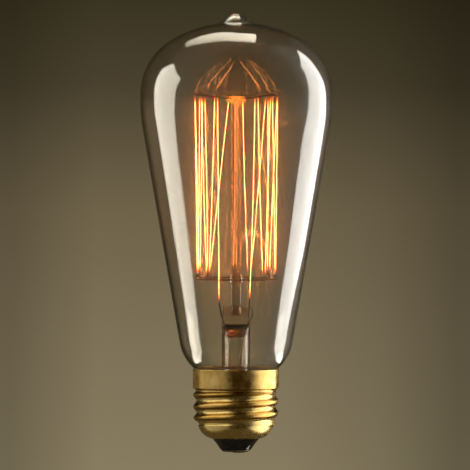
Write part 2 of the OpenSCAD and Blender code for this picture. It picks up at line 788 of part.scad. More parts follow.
module contact_solder() {
    flat_r = solder_r - solder_slope;
    drop_z = (pow(solder_r, 2) - pow(flat_r, 2) + pow(solder_h, 2)) / (2 * solder_h);
    color([0.6, 0.6, 0.6])
        difference() {
            union() {
                intersection() {
                    translate([solder_offset, 0, drop_z])
                        sphere(r = sqrt(pow(flat_r, 2) + pow(drop_z, 2)));
                    cylinder(h = solder_h, r = 2 * solder_r);
                }
                cylinder(h = contact_z + solder_core, r = eyelet_r - seal_gap);
            }
            translate([0, 0, 0.5 - seal_gap])
                cylinder(h = contact_z + 2, d = outer_lead_d + 2 * seal_gap);
        }
}

module side_solder() {
    lead_foot = round_axis(rim_out_r + lead_rest, side_lead_angle, rim_z - lead_end_drop);
    color([0.6, 0.6, 0.6])
        difference() {
            translate(round_axis(
                collar_r - side_solder_r / 2, side_lead_angle, rim_z - solder_sink * side_solder_r))
                sphere(r = side_solder_r);
            cylinder(h = rim_z + side_solder_r, r = rim_out_r + seal_gap, $fn = 180);
            translate(lead_foot - [0, 0, seal_gap])
                cylinder(h = 2 * side_solder_r, d = outer_lead_d + 2 * seal_gap);
        }
}

glass_envelope();
stem_tube();
arbor_rod();
top_button();
lower_bead();
for (i = [1:top_hooks])
    top_support(i - 1);
for (i = [1:bottom_hooks])
    bottom_support(i - 1);
filament();
filament_clip_left();
filament_clip_right();
inner_lead_left();
inner_lead_right();
seal_wire_left();
seal_wire_right();
side_lead();
centre_lead();
screw_shell();
basing_cement();
insulator();
centre_contact();
contact_solder();
side_solder();
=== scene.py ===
# %% [markdown]
# # A squirrel-cage filament lamp
# The lamp is a drop of clear blown glass on a brass screw cap. Inside it, one filament is strung up
# and down between two rings of hooks. This lesson takes the solid model as it is, turns the glass
# and rolls the thread again with finer steps, and then gives every piece the finish of the real one.
# All sizes are written in millimetres, and one factor turns them to Blender's metres.

import json
from math import acos, cos, degrees, pi, radians, sin

import bpy
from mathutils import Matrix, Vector

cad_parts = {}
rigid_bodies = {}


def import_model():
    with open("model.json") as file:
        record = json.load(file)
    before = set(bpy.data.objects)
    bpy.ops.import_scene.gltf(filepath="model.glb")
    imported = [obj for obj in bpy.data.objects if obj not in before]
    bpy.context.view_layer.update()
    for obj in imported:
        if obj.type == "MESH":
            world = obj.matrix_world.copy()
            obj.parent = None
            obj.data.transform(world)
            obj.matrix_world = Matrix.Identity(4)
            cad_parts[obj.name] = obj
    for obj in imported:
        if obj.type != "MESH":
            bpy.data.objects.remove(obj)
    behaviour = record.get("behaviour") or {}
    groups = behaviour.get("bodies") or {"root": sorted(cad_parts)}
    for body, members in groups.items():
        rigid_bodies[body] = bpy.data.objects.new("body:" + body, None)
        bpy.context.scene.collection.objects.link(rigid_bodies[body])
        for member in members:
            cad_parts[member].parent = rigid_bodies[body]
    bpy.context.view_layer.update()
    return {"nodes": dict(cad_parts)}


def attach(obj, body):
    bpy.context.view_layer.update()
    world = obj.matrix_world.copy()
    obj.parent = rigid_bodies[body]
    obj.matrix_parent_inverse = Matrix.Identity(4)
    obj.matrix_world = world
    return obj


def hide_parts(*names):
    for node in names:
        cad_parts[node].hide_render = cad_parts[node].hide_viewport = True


MM = 0.001
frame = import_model()
nodes = frame["nodes"]
print("pieces in the solid model:", len(nodes))

# %% [markdown]
# ## The camera
# The photograph looks straight at the lamp from its own middle height, and nothing in it narrows
# with distance. A long lens from far away gives that: the picture covers 143.35 mm at the lamp. The
# camera was held a tenth of a degree out of level.

# %% Camera
PICTURE_W = 143.35
CAMERA_Z = 66.4
CAMERA_BACK = 1800
AXIS_SHIFT = 0.335
CAMERA_ROLL = -0.09
SENSOR_W = 36

camera_data = bpy.data.cameras.new("camera")
camera_data.sensor_width = SENSOR_W
camera_data.lens = SENSOR_W * CAMERA_BACK / PICTURE_W
camera = bpy.data.objects.new("camera", camera_data)
camera.location = (-AXIS_SHIFT * MM, -CAMERA_BACK * MM, CAMERA_Z * MM)
camera.rotation_euler = (radians(90), radians(CAMERA_ROLL), 0)
bpy.context.collection.objects.link(camera)
bpy.context.scene.camera = camera
bpy.context.scene.view_settings.view_transform = "Standard"
print("lens:", round(camera_data.lens), "mm")

# %% [markdown]
# ## Helpers
# Colours are easiest to judge as the hex values of a screen, but shaders count in linear light, so
# one function turns the first into the second. A second one adds a node with its settings, values
# and links in one line, which keeps a material short enough to read.

# %% Colour and node helpers
def linear(code):
    """A hex colour of the screen as linear red, green, blue and alpha."""
    parts = [int(code[i : i + 2], 16) / 255 for i in (1, 3, 5)]
    return [c / 12.92 if c <= 0.04045 else ((c + 0.055) / 1.055) ** 2.4 for c in parts] + [1]


def add(tree, kind, inputs=None, stops=None, **settings):
    """Adds a node. Inputs are values, hex colours or sockets to link.

    Stops are a ramp's places and colours. Its two ends come first, and then what lies between.
    """
    node = tree.nodes.new("ShaderNode" + kind)
    for name, value in settings.items():
        setattr(node, name, value)
    for key, value in (inputs or {}).items():
        if isinstance(value, bpy.types.NodeSocket):
            tree.links.new(value, node.inputs[key])
        else:
            node.inputs[key].default_value = linear(value) if isinstance(value, str) else value
    for i, (place, code) in enumerate(stops or ()):
        marks = node.color_ramp.elements
        mark = marks[i] if i < 2 else marks.new(place)
        mark.position, mark.color = place, linear(code)
    return node


def new_finish(name):
    """An empty material, its tree, and the place on the piece in millimetres."""
    material = bpy.data.materials.new(name)
    material.use_nodes = True
    print("finish:", name)
    tree = material.node_tree
    tree.nodes.clear()
    metres = add(tree, "TexCoord").outputs["Object"]
    place = add(tree, "VectorMath", {0: metres, "Scale": 1 / MM}, operation="SCALE")
    return material, tree, place.outputs[0]


def finish_with(tree, inputs, **more):
    """Ends a material: the shader's values and links, and the output, which may take more."""
    shader = add(tree, "BsdfPrincipled", inputs)
    add(tree, "OutputMaterial", {"Surface": shader.outputs[0], **more})


# %% [markdown]
# ## The room
# A clear lamp shows what is round it, so the room is part of its look. The backdrop is a warm
# olive-grey that darkens upwards and to its sides. Here it is the world itself, seen by the camera,
# in reflections and through the glass. Its shades spread just past the picture's edges. Light that
# has bounced off a matt surface gets a plain, even white instead, so that paint and cement keep the
# colours that are written for them.

# %% Backdrop and even light
SHADE_SPREAD = 0.042
EVEN_LIGHT = 0.6
ONCE = 0.5  # a bounce count above this is at least one

world = bpy.data.worlds.new("room")
bpy.context.scene.world = world
world.use_nodes = True
world.cycles.sampling_method = "NONE"
room = world.node_tree
room.nodes.clear()
direction = add(room, "SeparateXYZ", {0: add(room, "TexCoord").outputs["Generated"]})
rise = add(room, "MapRange", {
    "Value": direction.outputs["Z"], "From Min": -SHADE_SPREAD, "From Max": SHADE_SPREAD,
})
backdrop = add(
    room, "ValToRGB", {0: rise.outputs[0]},
    [(0, "#887d61"), (1, "#37311f"), (0.3, "#7d7157"), (0.55, "#6f634a"), (0.8, "#4a422f")],
)
sideways = add(room, "MapRange", {
    "Value": direction.outputs["X"], "From Min": -SHADE_SPREAD, "From Max": SHADE_SPREAD,
})
side_shade = add(
    room, "ValToRGB", {0: sideways.outputs[0]},
    [(0.05, "#d4d4d4"), (0.95, "#bcbcbc"), (0.22, "#ffffff"), (0.6, "#fcfcfc"), (0.8, "#e4e4e4")],
)
path = add(room, "LightPath")
matt = add(room, "Math", {0: path.outputs["Diffuse Depth"], 1: ONCE}, operation="GREATER_THAN")
seen = add(room, "Background", {"Color": backdrop.outputs[0], "Strength": side_shade.outputs[0]})
lighting = add(room, "Background", {"Color": "#fffaf2", "Strength": EVEN_LIGHT})
both = add(room, "MixShader", {0: matt.outputs[0], 1: seen.outputs[0], 2: lighting.outputs[0]})
add(room, "OutputWorld", {"Surface": both.outputs[0]})
print("the backdrop's shades end", round(SHADE_SPREAD * CAMERA_BACK), "mm from the picture's middle")

# %% [markdown]
# The floor lies well below the lamp, out of the picture, as the lamp hangs free in the photograph.
# It is pale to the eye, but in shiny surfaces it has the backdrop's olive.

# %% Floor
FLOOR_Z = -160
FLOOR_R = 1700
FLOOR_SIDES = 96
FLOOR_GRAIN = 60

floor_finish, tree, place = new_finish("floor_paint")
floor_finish.cycles.emission_sampling = "NONE"
grain = add(tree, "TexNoise", {0: place, "Scale": 1 / FLOOR_GRAIN, "Detail": 4})
paint = add(tree, "ValToRGB", {0: grain.outputs[0]}, [(0.3, "#c3bba9"), (0.7, "#cbc4b3")])
painted = add(tree, "BsdfPrincipled", {"Base Color": paint.outputs[0], "Roughness": 0.7})
olive = add(tree, "Emission", {"Color": "#544a34"})
path = add(tree, "LightPath")
floor_look = add(tree, "MixShader", {
    0: path.outputs["Is Glossy Ray"], 1: painted.outputs[0], 2: olive.outputs[0],
})
add(tree, "OutputMaterial", {"Surface": floor_look.outputs[0]})
floor_mesh = bpy.data.meshes.new("floor")
turns = [2 * pi * k / FLOOR_SIDES for k in range(FLOOR_SIDES)]
corners = [(FLOOR_R * MM * cos(t), FLOOR_R * MM * sin(t), FLOOR_Z * MM) for t in turns]
floor_mesh.from_pydata(corners, [], [range(FLOOR_SIDES)])
floor_mesh.materials.append(floor_finish)
floor = bpy.data.objects.new("floor", floor_mesh)
bpy.context.collection.objects.link(floor)
print("floor at", FLOOR_Z, "mm")

# %% [markdown]
# Two large soft lamps shape the matt pieces. They light surfaces but don't show in reflections.

# %% Soft lamps
LAMP_SIDE = 1000
LAMP_AIM_Z = 70


def soft_lamp(name, place, power):
    """A square lamp at a place in millimetres, which faces the middle of the bulb."""
    lamp = bpy.data.lights.new(name, "AREA")
    lamp.energy, lamp.size = power, LAMP_SIDE * MM
    holder = bpy.data.objects.new(name, lamp)
    holder.location = Vector(place) * MM
    aim = Vector((0, 0, LAMP_AIM_Z)) * MM - holder.location
    holder.rotation_euler = aim.to_track_quat("-Z", "Y").to_euler()
    holder.visible_camera = holder.visible_glossy = holder.visible_transmission = False
    bpy.context.collection.objects.link(holder)
    print(name, "stands", round(aim.length / MM), "mm away")


soft_lamp("key_lamp", (-1200, -900, 1000), 9)
soft_lamp("fill_lamp", (1300, -800, 500), 5)

# %% [markdown]
# Studio glass is drawn by white cards that only show in reflections: a tall one at each side, and
# one behind and above that fades to the left. Two dark flags behind draw the bulb's outline. The
# stem and its rod have small ones of their own close by, and the brass has broad soft ones: dim at
# the left, bright at the right, and a dark one between them.
# Each is a sheet on a circle round the lamp. It glows only for light that has been mirrored on its
# way, so it is never seen itself. Glass mirrors sharply and brass doesn't, and light from the stem
# has passed through three surfaces or more and then comes less than 36 mm. Together that tells whose
# card it is.

# %% Reflection cards
CARD_R, STEM_CARD_R = 200, 45
ANY_REACH, STEM_REACH = 10000, 36
THREE_TIMES = 2.5  # a count above this is at least three
FLAG_TOP_Z, FLAG_FOOT_Z = 280, -150


def card(name, pairs, tint, strength, faint_end=1, lights="bulb", r=CARD_R, reach=ANY_REACH):
    """A sheet through pairs of corners, each an angle to the right of the camera and a height.

    Its last pair has the full strength and its first a share of it, faint_end. It lights the bulb,
    the stem or the brass alone, and only rays that left their last surface within its reach.
    """
    glow = bpy.data.materials.new(name)
    glow.use_nodes = True
    glow.cycles.emission_sampling = "NONE"
    tree = glow.node_tree
    tree.nodes.clear()
    path = add(tree, "LightPath")
    mirrored = add(tree, "Math", {0: path.outputs["Glossy Depth"], 1: ONCE}, operation="GREATER_THAN")
    sharp = "LESS_THAN" if lights == "brass" else "GREATER_THAN"
    own_gloss = add(tree, "Math", {0: path.outputs["Is Singular Ray"], 1: ONCE}, operation=sharp)
    deep = "GREATER_THAN" if lights == "stem" else "LESS_THAN"
    own_depth = add(tree, "Math", {0: path.outputs["Transmission Depth"], 1: THREE_TIMES}, operation=deep)
    near = add(tree, "Math", {0: path.outputs["Ray Length"], 1: reach * MM}, operation="LESS_THAN")
    shown = mirrored
    for test in (own_gloss, own_depth, near):
        shown = add(tree, "Math", {0: shown.outputs[0], 1: test.outputs[0]}, operation="MULTIPLY")
    along = add(tree, "Attribute", attribute_name="along")
    power = add(tree, "MapRange", {
        "Value": along.outputs["Fac"], "To Min": faint_end * strength, "To Max": strength,
    })
    light = add(tree, "Emission", {"Color": tint, "Strength": power.outputs[0]})
    clear = add(tree, "BsdfTransparent")
    look = add(tree, "MixShader", {0: shown.outputs[0], 1: clear.outputs[0], 2: light.outputs[0]})
    add(tree, "OutputMaterial", {"Surface": look.outputs[0]})

    spots = [spot for pair in pairs for spot in pair]
    points = [(r * MM * sin(radians(a)), -r * MM * cos(radians(a)), z * MM) for a, z in spots]
    mesh = bpy.data.meshes.new(name)
    mesh.from_pydata(points, [], [(2 * i, 2 * i + 1, 2 * i + 3, 2 * i + 2) for i in range(len(pairs) - 1)])
    share = mesh.attributes.new("along", "FLOAT", "POINT")
    share.data.foreach_set("value", [i // 2 / (len(pairs) - 1) for i in range(len(points))])
    mesh.materials.append(glow)
    sheet = bpy.data.objects.new(name, mesh)
    bpy.context.collection.objects.link(sheet)


card("left_card", [
    ((-101, 251), (-97, 251)), ((-112, 204), (-70, 184)), ((-109, 60), (-78, 45)), ((-107, 5), (-78, -5)),
    ((-112, -50), (-81, -77)), ((-140, -90), (-115, -150)),
], "#fff8e6", 6.3)
card("right_card", [
    ((98, 242), (132, 289)), ((93, 155), (125, 187)), ((91, 90), (129, 120)), ((88, 52), (133, 72)),
    ((89, 17), (134, 39)), ((86, -13), (120, 3)), ((93, -66), (122, -34)), ((125, -102), (150, -54)),
], "#fffdf8", 5.8)
card("crown_card", [
    ((-129, 347), (-146, 306)), ((-133, 453), (-160, 310)), ((-154, 612), (-170, 338)),
    ((-187, 785), (-183, 381)), ((-215, 667), (-193, 364)),
], "#fff6dc", 5.4, faint_end=0.35)
for name, start, stop in (("left_flag", -165, -136), ("right_flag", 146, 166)):
    corners = [((start, FLAG_TOP_Z), (stop, FLAG_TOP_Z)), ((start, FLAG_FOOT_Z), (stop, FLAG_FOOT_Z))]
    card(name, corners, "#2e2818", 1)
for name, start, stop, low, high, tint, strength in (
    ("left_stem_flag", -174, -128, 24, 44, "#14110a", 1), ("right_stem_flag", 132, 174, 24, 44, "#14110a", 1),
    ("left_stem_card", -92, -78, 24, 40, "#fffaf0", 8), ("right_stem_card", 84, 112, 24, 40, "#fffaf0", 6.5),
    ("left_rod_card", -136, -118, 42, 53, "#fff4ea", 6), ("right_rod_card", 118, 136, 42, 53, "#fff4ea", 5),
):
    corners = [((start, high), (stop, high)), ((start, low), (stop, low))]
    card(name, corners, tint, strength, lights="stem", r=STEM_CARD_R, reach=STEM_REACH)
for name, start, stop, low, high, tint, strength, faint_end in (
    ("left_brass_card", -22, -112, -155, 60, "#fff6e4", 0.55, 0.4),
    ("left_high_brass_card", -22, -112, 60, 460, "#fff6e4", 1.6, 0.7),
    ("right_brass_card", 50, 126, -155, 460, "#fffaf0", 4, 0.12),
    ("dark_brass_card", -22, 50, -155, 460, "#372e1a", 1, 1),
):
    corners = [((start, low), (start, high)), ((stop, low), (stop, high))]
    card(name, corners, tint, strength, faint_end, lights="brass")
staged = [piece.name for piece in bpy.data.objects if piece.name.endswith(("_card", "_flag"))]
print("cards and flags:", len(staged))

# %% [markdown]
# ## The bulb
# The bulb is blown into a mould, so it is round everywhere, and its profile is a chain of bends that
# run into each other: crown, shoulder, side, taper and neck. Turning that profile is how a lathe or
# a glassblower's mould makes it. The solid has the same profile in few steps. Glass shows every
# step as a kink in its reflections, so here the bends are turned again with fine ones.

# %% Turning a profile
def arc(centre, r, start, stop, steps):
    """Points on a bend, from one angle to another."""
    turns = [radians(start + (stop - start) * i / steps) for i in range(steps + 1)]
    return [(centre[0] + r * cos(t), centre[1] + r * sin(t)) for t in turns]


def link_piece(name, points, faces, finish, stands_for):
    """Makes a smooth piece from points in millimetres, in place of a node of the solid model."""
    mesh = bpy.data.meshes.new(name)
    mesh.from_pydata([[c * MM for c in p] for p in points], [], faces)
    mesh.validate()
    mesh.polygons.foreach_set("use_smooth", [True] * len(mesh.polygons))
    mesh.materials.append(finish)
    piece = bpy.data.objects.new(name, mesh)
    bpy.context.collection.objects.link(piece)
    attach(piece, "root")
    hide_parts(stands_for)
    print(name, "has", len(mesh.polygons), "faces")
    return piece


def turned(name, profile, sides, finish, stands_for):
    """Turns a closed profile, which starts and ends on the axis, once round it."""
    rings = profile[1:-1]
    turns = [2 * pi * k / sides for k in range(sides)]
    points = [(r * cos(t), r * sin(t), z) for r, z in rings for t in turns]
    first, last, last_ring = len(points), len(points) + 1, len(points) - sides
    points += [(0, 0, profile[0][1]), (0, 0, profile[-1][1])]
    faces = []
    for k in range(sides):
        n = (k + 1) % sides
        faces.append((first, k, n))
        for ring in range(0, last_ring, sides):
            faces.append((ring + k, ring + sides + k, ring + sides + n, ring + n))
        faces.append((last, last_ring + n, last_ring + k))
    return link_piece(name, points, faces, finish, stands_for)


# %% The bulb's profile
BULB_R, BULB_Z, GLASS_T = 29.3, 107.8, 0.8
SIDE_BEND, SHOULDER_BEND, CROWN_BEND = 55, 19.7, 39
SHOULDER_START, TAPER = 2, 9.9
TIP_H, TIP_R, TIP_SEAL = 2.9, 5.3, 0.5
NECK_R, NECK_RISE, NECK_BEND, NECK_TURN, NECK_FOOT_Z = 11, 8, 13.3, 50, 12
RIM_Z, COLLAR_R, RIM_FLARE, SHELL_T = 25.4, 13.15, 0.1, 0.3
THROAT_R = 12.593  # where the neck's outward bend runs into the throat's inward one
CROWN_STEPS, SHOULDER_STEPS, SIDE_STEPS, NECK_STEPS, THROAT_STEPS = 24, 40, 12, 20, 14
TIP_STEPS, BULB_SIDES = 24, 192

side = (BULB_R - SIDE_BEND, BULB_Z)
shoulder = (
    side[0] + (SIDE_BEND - SHOULDER_BEND) * cos(radians(SHOULDER_START)),
    side[1] + (SIDE_BEND - SHOULDER_BEND) * sin(radians(SHOULDER_START)),
)
crown_end = degrees(acos(shoulder[0] / (CROWN_BEND - SHOULDER_BEND)))
crown = (0, shoulder[1] - (CROWN_BEND - SHOULDER_BEND) * sin(radians(crown_end)))
neck = (
    THROAT_R - NECK_BEND * cos(radians(NECK_TURN)),
    RIM_Z + NECK_RISE + NECK_BEND * sin(radians(TAPER)),
)
throat_top_z = neck[1] - NECK_BEND * sin(radians(NECK_TURN))
throat_bend = (THROAT_R - NECK_R) / (1 - cos(radians(NECK_TURN)))
throat = (
    THROAT_R + throat_bend * cos(radians(NECK_TURN)),
    throat_top_z - throat_bend * sin(radians(NECK_TURN)),
)


def bulb_profile(wall, crown_start):
    """The bulb's profile from crown to neck, moved inwards by its wall."""
    return (
        arc(crown, CROWN_BEND - wall, crown_start, crown_end, CROWN_STEPS)
        + arc(shoulder, SHOULDER_BEND - wall, crown_end, SHOULDER_START, SHOULDER_STEPS)[1:]
        + arc(side, SIDE_BEND - wall, SHOULDER_START, -TAPER, SIDE_STEPS)[1:]
        + arc(neck, NECK_BEND - wall, -TAPER, -NECK_TURN, NECK_STEPS)
        + arc(throat, throat_bend + wall, 180 - NECK_TURN, 180, THROAT_STEPS)[1:]
        + [(NECK_R - wall, NECK_FOOT_Z)]
    )


def tip_profile(wall, height):
    """The exhaust tip: a hollow blunt cone on the crown, up to the last step before its foot."""
    tip = []
    for i in range(TIP_STEPS):
        r = (TIP_R - wall) * i / TIP_STEPS
        on_crown = ((CROWN_BEND - wall) ** 2 - r**2) ** 0.5
        tip.append((r, crown[1] + on_crown + height * cos(pi / 2 * i / TIP_STEPS)))
    return tip


def crown_from(wall):
    """The angle on the crown's bend at which the tip's foot ends."""
    return degrees(acos((TIP_R - wall) / (CROWN_BEND - wall)))


outside = tip_profile(0, TIP_H) + bulb_profile(0, crown_from(0))
inside = tip_profile(GLASS_T, TIP_H - TIP_SEAL) + bulb_profile(GLASS_T, crown_from(GLASS_T))
section = outside + inside[::-1]
print("bulb profile:", len(section), "points, from", NECK_FOOT_Z, "to", round(outside[0][1], 1), "mm")

# %% [markdown]
# The real one is soda-lime glass, clear with a breath of amber. It is smooth from the flame, yet not
# perfect: blowing leaves long, low waves that bend reflections a little. Its index is 1.52. The waves
# are 12 mm wide and twice as tall, and about a thousandth of a millimetre high. That is a bump so
# faint that only a reflected edge gives it away. A fine dust of 0.05 mm specks scatters the
# filament's light into the haze that every lit lamp has. The specks are rough and finer than a
# pixel, so they don't show singly. The glass itself swallows a little light, blue most of all, and
# as the sheet is seen edge-on at the outline, that draws it there in dark olive.

# %% Blown glass
WAVE_W, SPECK_W = 12, 0.05

blown_glass, tree, place = new_finish("blown_soda_lime_glass")
stretched = add(tree, "VectorMath", {0: place, 1: (1, 1, 0.5)}, operation="MULTIPLY")
waves = add(tree, "TexNoise", {0: stretched.outputs[0], "Scale": 1 / WAVE_W, "Detail": 1})
wavy = add(tree, "Bump", {"Height": waves.outputs[0], "Strength": 0.02, "Distance": 0.08 * MM})
tint = add(tree, "ValToRGB", {0: waves.outputs[0]}, [(0.3, "#fdf9f0"), (0.7, "#fffcf6")])
specks = add(tree, "TexNoise", {0: place, "Scale": 1 / SPECK_W, "Detail": 0})
dust = add(tree, "ValToRGB", {0: specks.outputs[0]}, [(0.665, "#000000"), (0.675, "#b4b4b4")])
body = add(tree, "VolumeAbsorption", {"Color": "#9c8f62", "Density": 25})
finish_with(tree, {
    "Base Color": tint.outputs[0], "Roughness": dust.outputs[0], "IOR": 1.52, "Transmission Weight": 1,
    "Normal": wavy.outputs[0],
}, Volume=body.outputs[0])
bulb = turned("bulb", section, BULB_SIDES, blown_glass, "glass_envelope")

# %% [markdown]
# ## The screw shell
# The shell is one sheet of brass. Its thread is rolled into it, so inside and outside wave together,
# and one turn climbs 3.62 mm. Each row of the mesh has a mean radius, a height and a swing, and the
# swing follows the angle round the axis, which gives a true right-hand helix that fades out at both
# ends. Above the thread stands the plain collar with its rim, and below it the sheet curls in.

# %% Rolled thread
THREAD_R, THREAD_DEPTH, PITCH, CREST_Z = 13.05, 1, 3.62, 15.85
COLLAR_Z, CURL_BEND, CURL_Z, LIP_R = 19.6, 5.5, 8.2, 7.4
CURL_START, CURL_STOP = 16, 77
SHELL_SIDES, ROW_STEP, FADE = 160, 0.15, 1.3
NARROW_RUN, SWING_BELOW, SWING_RUN = 3, 1, 2.6
GROOVE_DROP, GROOVE_DEPTH, THREAD_DROP, THREAD_RISE = 0.5, 0.8, 0.15, 0.3
COLLAR_BEND, COLLAR_TURN, COLLAR_STEPS, CURL_STEPS = 0.25, 80, 6, 14
COLLAR_ROWS_Z = [24, 23, 22, 21, 20.2]
# How far a row stands out from the collar, and how far it lies below the rim's edge
RIM_ROWS = [(RIM_FLARE, 0), (RIM_FLARE, 0.1), (RIM_FLARE, 0.25), (0.03, 0.45), (0, 0.6)]
# How far a row stands out from the groove, and how far it lies above it
GROOVE_ROWS = [(0.25, 0.3), (0.1, 0.12)]

swing = THREAD_DEPTH / 2
thread_mid = THREAD_R - swing
groove_z = COLLAR_Z - GROOVE_DROP
groove_r = THREAD_R - GROOVE_DEPTH * THREAD_DEPTH
curl = (LIP_R - CURL_BEND * cos(radians(CURL_STOP)), CURL_Z + CURL_BEND * sin(radians(CURL_START)))
curl_top_r = curl[0] + CURL_BEND * cos(radians(CURL_START))
thread_top_z, thread_foot_z = groove_z - THREAD_DROP, CURL_Z + THREAD_RISE


def ease(x):
    """Runs smoothly from 0 to 1 as x does."""
    x = max(0, min(1, x))
    return x * x * (3 - 2 * x)


def rolled_r(z):
    """Mean radius of the sheet: in to the curl below, and in to the groove above."""
    low, high = ease((CURL_Z + NARROW_RUN - z) / NARROW_RUN), ease((z - groove_z + FADE) / FADE)
    return thread_mid + (curl_top_r - thread_mid) * low + (groove_r - thread_mid) * high


def swing_at(z):
    """How far the sheet waves in and out at a height. It fades out at both ends of the thread."""
    return swing * ease((groove_z - z) / FADE) * ease((z - CURL_Z + SWING_BELOW) / SWING_RUN)


def shell_rows(wall):
    """The rows from rim to lip, moved inwards by the wall: mean radius, height and swing."""
    steps = round((thread_top_z - thread_foot_z) / ROW_STEP)
    heights = [thread_top_z + (thread_foot_z - thread_top_z) * i / steps for i in range(steps + 1)]
    bend = (COLLAR_R - COLLAR_BEND, COLLAR_Z + COLLAR_BEND)
    return (
        [(COLLAR_R + out - wall, RIM_Z - drop, 0) for out, drop in RIM_ROWS]
        + [(COLLAR_R - wall, z, 0) for z in COLLAR_ROWS_Z]
        + [(r - wall, z, 0) for r, z in arc(bend, COLLAR_BEND, 0, -COLLAR_TURN, COLLAR_STEPS)]
        + [(groove_r + out - wall, groove_z + above, 0) for out, above in GROOVE_ROWS]
        + [(rolled_r(z) - wall, z, swing_at(z)) for z in heights]
        + [(r, z, 0) for r, z in arc(curl, CURL_BEND - wall, -CURL_START, -CURL_STOP, CURL_STEPS)]
    )


sheet = shell_rows(0) + shell_rows(SHELL_T)[::-1]
points, faces = [], []
for row, (mean_r, z, row_swing) in enumerate(sheet):
    here, below = row * SHELL_SIDES, (row + 1) % len(sheet) * SHELL_SIDES
    for k in range(SHELL_SIDES):
        angle = 2 * pi * k / SHELL_SIDES
        r = mean_r + row_swing * cos(2 * pi * (z - CREST_Z) / PITCH - angle)
        points.append((r * cos(angle), r * sin(angle), z))
        n = (k + 1) % SHELL_SIDES
        faces.append((here + k, below + k, below + n, here + n))
print("rows in the sheet:", len(sheet))

# %% [markdown]
# The thread's flanks, between its crests and valleys, are painted dark brown: painted shade that
# draws dark lines between the rows. The radius tells one from the other, so it drives the colour,
# and blotches shift it a little.
# Drawing and rolling leave fine lines round the shell, and handling leaves the soft blotches, some
# 3 mm across, that dull the shine.

# %% Rolled brass
BLOTCH_W, LINE_LENGTH, LINES_PER_MM = 3, 50, 9
CREST_TONE, BLOTCH_TONE = 0.78, 0.35

rolled_brass, tree, place = new_finish("rolled_brass")
apart = add(tree, "SeparateXYZ", {0: place})
round_only = add(tree, "CombineXYZ", {"X": apart.outputs["X"], "Y": apart.outputs["Y"]})
radius = add(tree, "VectorMath", {0: round_only.outputs[0]}, operation="LENGTH")
height_in_thread = add(tree, "MapRange", {
    "Value": radius.outputs["Value"], "From Min": THREAD_R - THREAD_DEPTH, "From Max": THREAD_R,
    "To Max": CREST_TONE,
})
blotches = add(tree, "TexNoise", {0: place, "Scale": 1 / BLOTCH_W, "Detail": 5, "Roughness": 0.6})
flank_shade_and_blotches = add(tree, "Math", {
    0: blotches.outputs[0], 1: BLOTCH_TONE, 2: height_in_thread.outputs[0],
}, operation="MULTIPLY_ADD")
# Painted shade: the dark brown near the middle of the ramp falls on the thread's flanks
brass_colour = add(
    tree, "ValToRGB", {0: flank_shade_and_blotches.outputs[0]},
    [(0.1, "#e6cc88"), (1, "#efce84"), (0.34, "#d9ba70"), (0.56, "#7a5620"), (0.88, "#c59a48")],
)
shine = add(tree, "MapRange", {
    "Value": blotches.outputs[0], "From Min": 0.3, "From Max": 0.7, "To Min": 0.18, "To Max": 0.36,
})
lines_scale = (1 / LINE_LENGTH, 1 / LINE_LENGTH, LINES_PER_MM)
lines_place = add(tree, "VectorMath", {0: place, 1: lines_scale}, operation="MULTIPLY")
lines = add(tree, "TexNoise", {0: lines_place.outputs[0], "Scale": 1, "Detail": 3})
brass_lines = add(tree, "Bump", {"Height": lines.outputs[0], "Strength": 0.12, "Distance": 0.03 * MM})
dents = add(tree, "Bump", {
    "Height": blotches.outputs[0], "Strength": 0.25, "Distance": 0.06 * MM, "Normal": brass_lines.outputs[0],
})
finish_with(tree, {
    "Base Color": brass_colour.outputs[0], "Metallic": 1, "Roughness": shine.outputs[0],
    "Normal": dents.outputs[0],
})
shell = link_piece("cap_shell", points, faces, rolled_brass, "screw_shell")

# %% [markdown]
# ## Stem glass
# The stem, its rod, the button and the bead are drawn and pressed from lead glass, which is softer
# in the flame and bends light more, with an index of 1.56. Pressing leaves it uneven. Where it is
# fused round the copper-clad wires, their oxide dissolves in it and stains it red-brown. Inside the
# cage it is full of the filament's light: the rod a little, and the button on top, with its wires
# sealed in, so much that it seems to glow. That light is painted into the glass as an amber glow
# that rises with height, faint on the rod and strong on the button.

# %% Pressed lead glass
PRESS_FOOT_Z, PRESS_TOP_Z = 36, 45
CAGE_FOOT_Z, BUTTON_FOOT_Z = 52, 107
STEM_RIPPLE_W = 1.5

lead_glass, tree, place = new_finish("pressed_lead_glass")
ripple = add(tree, "TexNoise", {0: place, "Scale": 1 / STEM_RIPPLE_W, "Detail": 2})
uneven = add(tree, "Bump", {"Height": ripple.outputs[0], "Strength": 0.15, "Distance": 0.15 * MM})
height = add(tree, "SeparateXYZ", {0: place}).outputs["Z"]
in_press = add(tree, "MapRange", {"Value": height, "From Min": PRESS_FOOT_Z, "From Max": PRESS_TOP_Z})
tint = add(
    tree, "ValToRGB", {0: in_press.outputs[0]},
    [(0, "#f8f4ec"), (1, "#f4e6da"), (0.2, "#e2b698"), (0.4, "#f4e4d6"), (0.6, "#f0dac8"), (0.85, "#d8a888")],
)
# Painted light: an amber glow that rises through the cage to the button, for the filament's light
in_cage = add(tree, "MapRange", {"Value": height, "From Min": CAGE_FOOT_Z, "From Max": BUTTON_FOOT_Z})
painted_glow = add(
    tree, "ValToRGB", {0: in_cage.outputs[0]},
    [(0, "#000000"), (1, "#b8b8b8"), (0.1, "#343434"), (0.97, "#404040")],
)
finish_with(tree, {
    "Base Color": tint.outputs[0], "Roughness": 0, "IOR": 1.56, "Transmission Weight": 1,
    "Normal": uneven.outputs[0], "Emission Color": "#ff8a2c", "Emission Strength": painted_glow.outputs[0],
})

# %% [markdown]
# ## The filament
# One wire runs up and down between ten top hooks and nine bottom ones. The solid has it 0.3 mm thick,
# enough to be meshed, and here it is strung again on the same route at 0.09 mm, closer to the real
# one. Each strand bows a little, because a hot wire is soft. The angles count from the front towards
# the left, and a strand strays from even spacing where the real hooks are bent.

